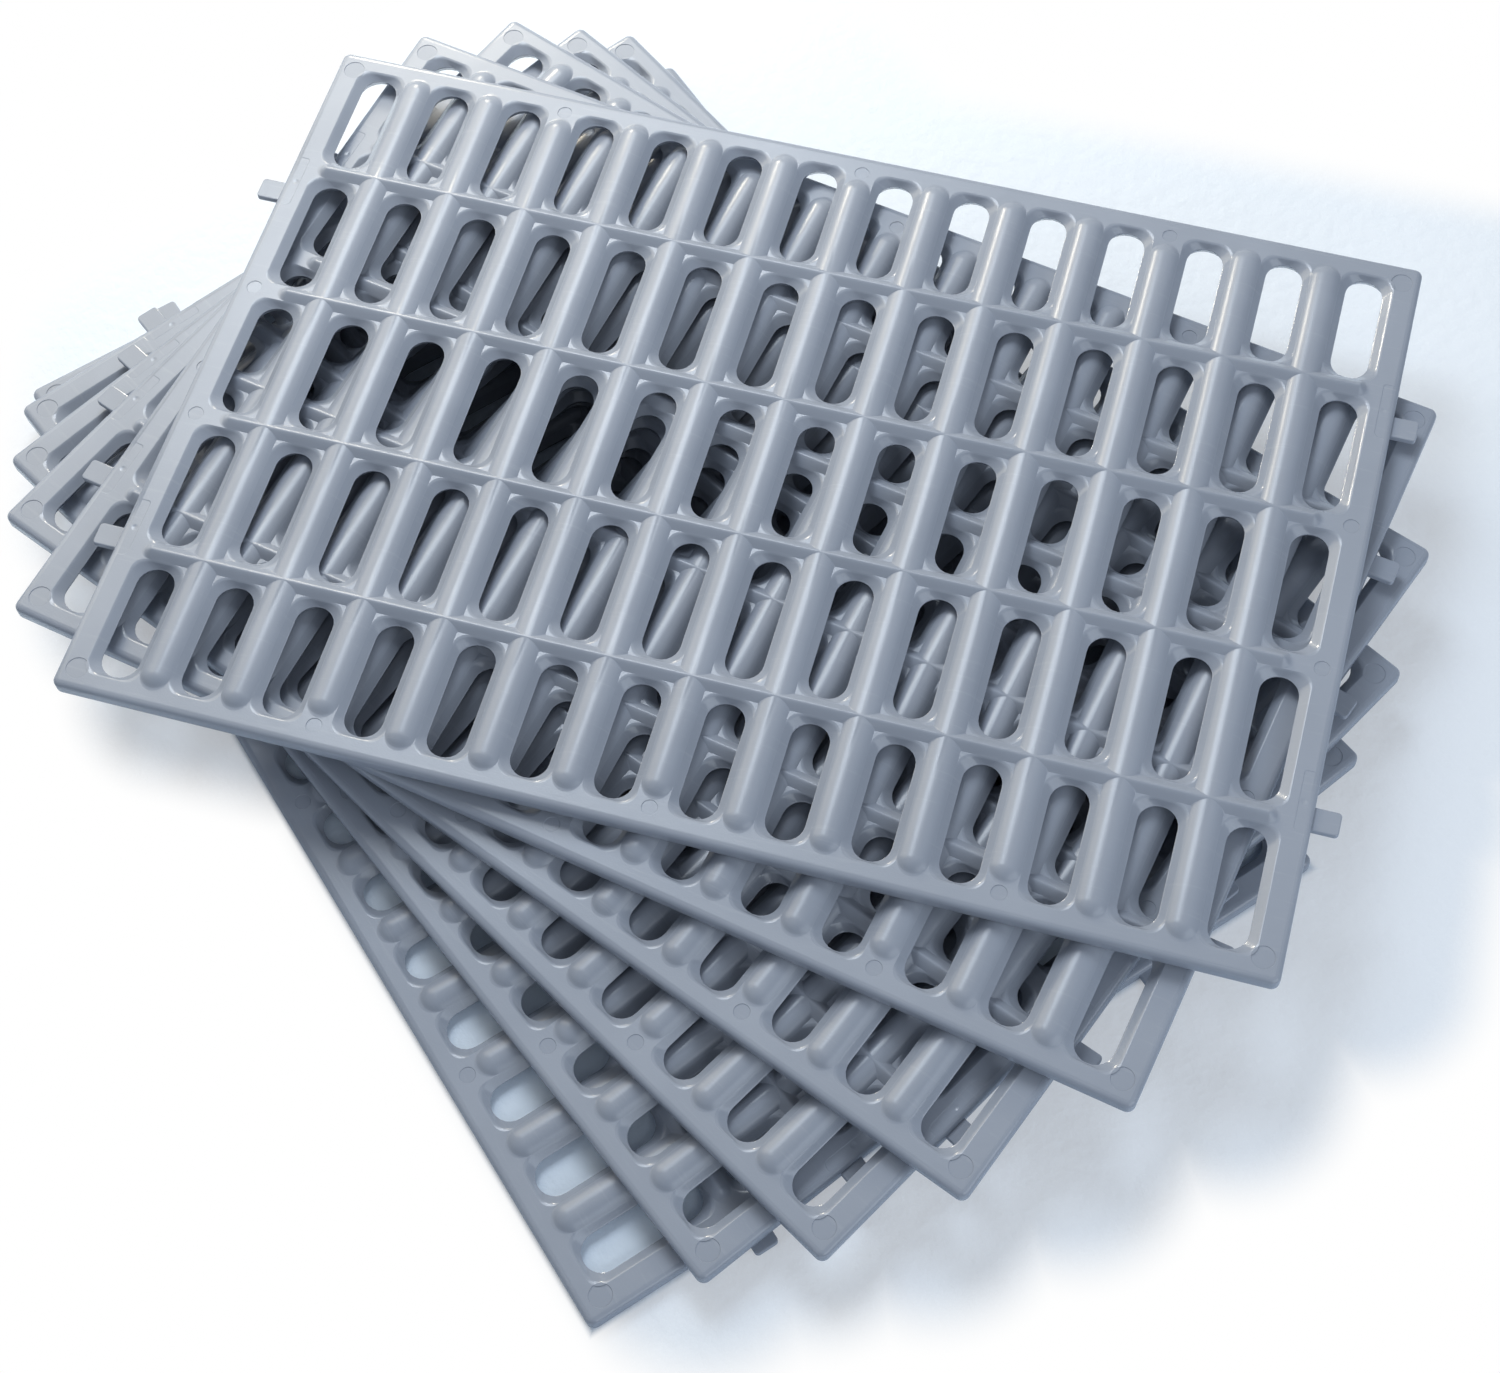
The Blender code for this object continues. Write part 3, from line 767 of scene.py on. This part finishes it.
places = tray_place()
for body in TRAY_BODIES:
    data = tray_skin.copy()
    place = places[body].copy()
    place.translation.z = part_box(body)[0].z
    data.transform(place)
    tray = bpy.data.objects.new("slotted_" + body, data)
    bpy.context.scene.collection.objects.link(tray)
    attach(tray, body)
    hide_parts(body)
bpy.data.meshes.remove(tray_skin)

# The floor is a pale, slightly textured panel that keeps the stack's soft shadow. For the camera alone it is
# lightened beside the stack and fades to plain white away from it, which paints a soft shade halo along the
# trays' outlines, moved a little towards the back; under the bottom tray it stays as lit.
FLOOR_HALF = 6.0
FLOOR_COLOUR = (0.72, 0.80, 0.89, 1.0)
FLOOR_LIFT = 0.34
# Painted shade halo: the floor's white lift is smallest close to the trays' outlines, moved towards the back by
# this shift.
HALO_SHADE_SHIFT = (-0.002, 0.040, 0.0)
FADE_START = 0.023
FADE_END = 0.047
FADE_LIMIT = 1.0
SHADE_INSIDE = -0.001
SHADE_OUTSIDE = 0.002
FLOOR_DROP = 0.0002
FLOOR_ROUGHNESS = 0.7
FLOOR_SPECULAR = 0.2
FLOOR_GRAIN_SCALE = 170.0
FLOOR_GRAIN_DETAIL = 4.0
FLOOR_GRAIN_STRENGTH = 0.35
FLOOR_GRAIN_HEIGHT = 0.002
floor_mesh = bpy.data.meshes.new("floor")
floor_mesh.from_pydata([(-FLOOR_HALF, -FLOOR_HALF, 0.0), (FLOOR_HALF, -FLOOR_HALF, 0.0),
                        (FLOOR_HALF, FLOOR_HALF, 0.0), (-FLOOR_HALF, FLOOR_HALF, 0.0)], [], [(0, 1, 2, 3)])
floor = bpy.data.objects.new("floor", floor_mesh)
floor.location.z = -FLOOR_DROP
bpy.context.scene.collection.objects.link(floor)


def stack_distance(tree, place_socket):
    """How far a place on the floor lies outside the fanned trays, moved back by the shift of the painted shade
    halo.
    """
    half = (HALF_LENGTH * MILLIMETRE, HALF_WIDTH * MILLIMETRE, FADE_LIMIT)
    nearest = FADE_LIMIT
    for tray_at in places.values():
        local = tree.nodes.new("ShaderNodeMapping")
        local.vector_type = "TEXTURE"
        local.inputs["Location"].default_value = tray_at.translation + Vector(HALO_SHADE_SHIFT)
        local.inputs["Rotation"].default_value = tray_at.to_euler()
        tree.links.new(place_socket, local.inputs["Vector"])
        beyond = local.outputs["Vector"]
        for operation, value in (("ABSOLUTE", None), ("SUBTRACT", half),
                                 ("MAXIMUM", (0.0, 0.0, 0.0)), ("LENGTH", None)):
            step = tree.nodes.new("ShaderNodeVectorMath")
            step.operation = operation
            if value:
                step.inputs[1].default_value = value
            tree.links.new(beyond, step.inputs[0])
            beyond = step.outputs["Value" if operation == "LENGTH" else "Vector"]
        nearest = math_node(tree, "MINIMUM", beyond, nearest)
    return nearest


def floor_paint():
    """Pale floor paint with a faint texture, whose far parts show as plain white to the camera; near the stack a
    painted shade halo is left.
    """
    paint = bpy.data.materials.new("white_floor")
    paint.use_nodes = True
    tree = paint.node_tree
    nodes = tree.nodes
    links = tree.links
    surface = nodes["Principled BSDF"]
    surface.inputs["Base Color"].default_value = FLOOR_COLOUR
    surface.inputs["Roughness"].default_value = FLOOR_ROUGHNESS
    surface.inputs["Specular IOR Level"].default_value = FLOOR_SPECULAR
    place = nodes.new("ShaderNodeTexCoord")
    grain = nodes.new("ShaderNodeTexNoise")
    grain.inputs["Scale"].default_value = FLOOR_GRAIN_SCALE
    grain.inputs["Detail"].default_value = FLOOR_GRAIN_DETAIL
    bump = nodes.new("ShaderNodeBump")
    bump.inputs["Strength"].default_value = FLOOR_GRAIN_STRENGTH
    bump.inputs["Distance"].default_value = FLOOR_GRAIN_HEIGHT
    links.new(place.outputs["Object"], grain.inputs["Vector"])
    links.new(grain.outputs["Fac"], bump.inputs["Height"])
    links.new(bump.outputs["Normal"], surface.inputs["Normal"])
    # Painted shade halo: less white lift close to the trays, more further out.
    halo_lift = nodes.new("ShaderNodeMapRange")
    halo_lift.interpolation_type = "SMOOTHSTEP"
    halo_lift.inputs["From Min"].default_value = FADE_START
    halo_lift.inputs["From Max"].default_value = FADE_END
    halo_lift.inputs["To Min"].default_value = FLOOR_LIFT
    links.new(stack_distance(tree, place.outputs["Object"]), halo_lift.inputs["Value"])
    part = nodes.new("ShaderNodeSeparateXYZ")
    links.new(place.outputs["Object"], part.inputs["Vector"])
    beyond = []
    for axis, half in (("X", HALF_LENGTH), ("Y", HALF_WIDTH)):
        reach = math_node(tree, "ABSOLUTE", part.outputs[axis], 0.0)
        beyond.append(math_node(tree, "SUBTRACT", reach, half * MILLIMETRE))
    shade = nodes.new("ShaderNodeMapRange")
    shade.interpolation_type = "SMOOTHSTEP"
    shade.inputs["From Min"].default_value = SHADE_INSIDE
    shade.inputs["From Max"].default_value = SHADE_OUTSIDE
    links.new(math_node(tree, "MAXIMUM", *beyond), shade.inputs["Value"])
    path = nodes.new("ShaderNodeLightPath")
    lift = math_node(tree, "MULTIPLY", halo_lift.outputs["Result"], shade.outputs["Result"])
    seen = math_node(tree, "MULTIPLY", lift, path.outputs["Is Camera Ray"])
    white = nodes.new("ShaderNodeEmission")
    blend = nodes.new("ShaderNodeMixShader")
    links.new(seen, blend.inputs["Fac"])
    links.new(surface.outputs["BSDF"], blend.inputs[1])
    links.new(white.outputs["Emission"], blend.inputs[2])
    links.new(blend.outputs["Shader"], nodes["Material Output"].inputs["Surface"])
    return paint


floor_mesh.materials.append(floor_paint())

# Light: a soft, warm window panel close by on the left, whose light falls off across the stack, with a brighter
# gap that glints on the plastic. Cool panels stand high at the back, for the sheen on the flat faces, and low on
# the right. A faint cool sky lies all round, which the camera sees as plain white.
LIGHT_AIM = (0.0, 0.04, 0.04)
WARM_LIGHT = (1.0, 0.915, 0.74)
COOL_LIGHT = (0.84, 0.92, 1.0)
PANELS = (("window_panel", (-0.58, 0.00, 0.42), 0.64, 0.56, 2.6, WARM_LIGHT),
          ("window_gap", (-0.575, 0.19, 0.305), 0.08, 0.09, 0.95, WARM_LIGHT),
          ("back_panel", (-0.49, 0.19, 0.82), 0.42, 0.42, 5.1, COOL_LIGHT),
          ("fill_panel", (0.80, 0.17, 0.45), 0.80, 0.50, 2.6, COOL_LIGHT))
SKY_COLOUR = (0.81, 0.89, 1.0, 1.0)
SKY_STRENGTH = 0.32
BACKDROP_COLOUR = (1.0, 1.0, 1.0, 1.0)
for name, place, width, height, power, colour in PANELS:
    panel_data = bpy.data.lights.new(name, "AREA")
    panel_data.shape = "RECTANGLE"
    panel_data.size = width
    panel_data.size_y = height
    panel_data.energy = power
    panel_data.color = colour
    panel = bpy.data.objects.new(name, panel_data)
    panel.location = place
    panel.visible_camera = False
    towards = Vector(LIGHT_AIM) - Vector(place)
    panel.rotation_euler = towards.to_track_quat("-Z", "Y").to_euler()
    bpy.context.scene.collection.objects.link(panel)
sky = bpy.data.worlds.new("pale_room")
sky.use_nodes = True
sky_nodes = sky.node_tree.nodes
sky_links = sky.node_tree.links
sky_light = sky_nodes["Background"]
sky_light.inputs["Color"].default_value = SKY_COLOUR
sky_light.inputs["Strength"].default_value = SKY_STRENGTH
sky_seen = sky_nodes.new("ShaderNodeBackground")
sky_seen.inputs["Color"].default_value = BACKDROP_COLOUR
sky_choice = sky_nodes.new("ShaderNodeMixShader")
sky_path = sky_nodes.new("ShaderNodeLightPath")
sky_links.new(sky_path.outputs["Is Camera Ray"], sky_choice.inputs["Fac"])
sky_links.new(sky_light.outputs["Background"], sky_choice.inputs[1])
sky_links.new(sky_seen.outputs["Background"], sky_choice.inputs[2])
sky_links.new(sky_choice.outputs["Shader"], sky_nodes["World Output"].inputs["Surface"])
bpy.context.scene.world = sky

# Camera: hand-held above the front right corner of the stack, looking down on the top tray.
CAMERA_PLACE = (0.4015, -0.1621, 0.7828)
CAMERA_FORWARD = (-0.4285, 0.2529, -0.8675)
CAMERA_RIGHT = (0.5434, 0.8391, -0.0238)
CAMERA_LENS = 63.75
CAMERA_SHIFT = (-0.0509, -0.0863)
SENSOR_WIDTH = 36.0
CLIP_START = 0.05
camera_data = bpy.data.cameras.new("camera")
camera_data.lens = CAMERA_LENS
camera_data.sensor_width = SENSOR_WIDTH
camera_data.sensor_fit = "HORIZONTAL"
camera_data.shift_x, camera_data.shift_y = CAMERA_SHIFT
camera_data.clip_start = CLIP_START
camera = bpy.data.objects.new("camera", camera_data)
backward = -Vector(CAMERA_FORWARD).normalized()
upward = backward.cross(Vector(CAMERA_RIGHT)).normalized()
sideways = upward.cross(backward)
turn = Matrix((sideways, upward, backward)).transposed()
camera.matrix_world = Matrix.Translation(Vector(CAMERA_PLACE)) @ turn.to_4x4()
bpy.context.scene.collection.objects.link(camera)
bpy.context.scene.camera = camera
bpy.context.scene.view_settings.view_transform = "Standard"
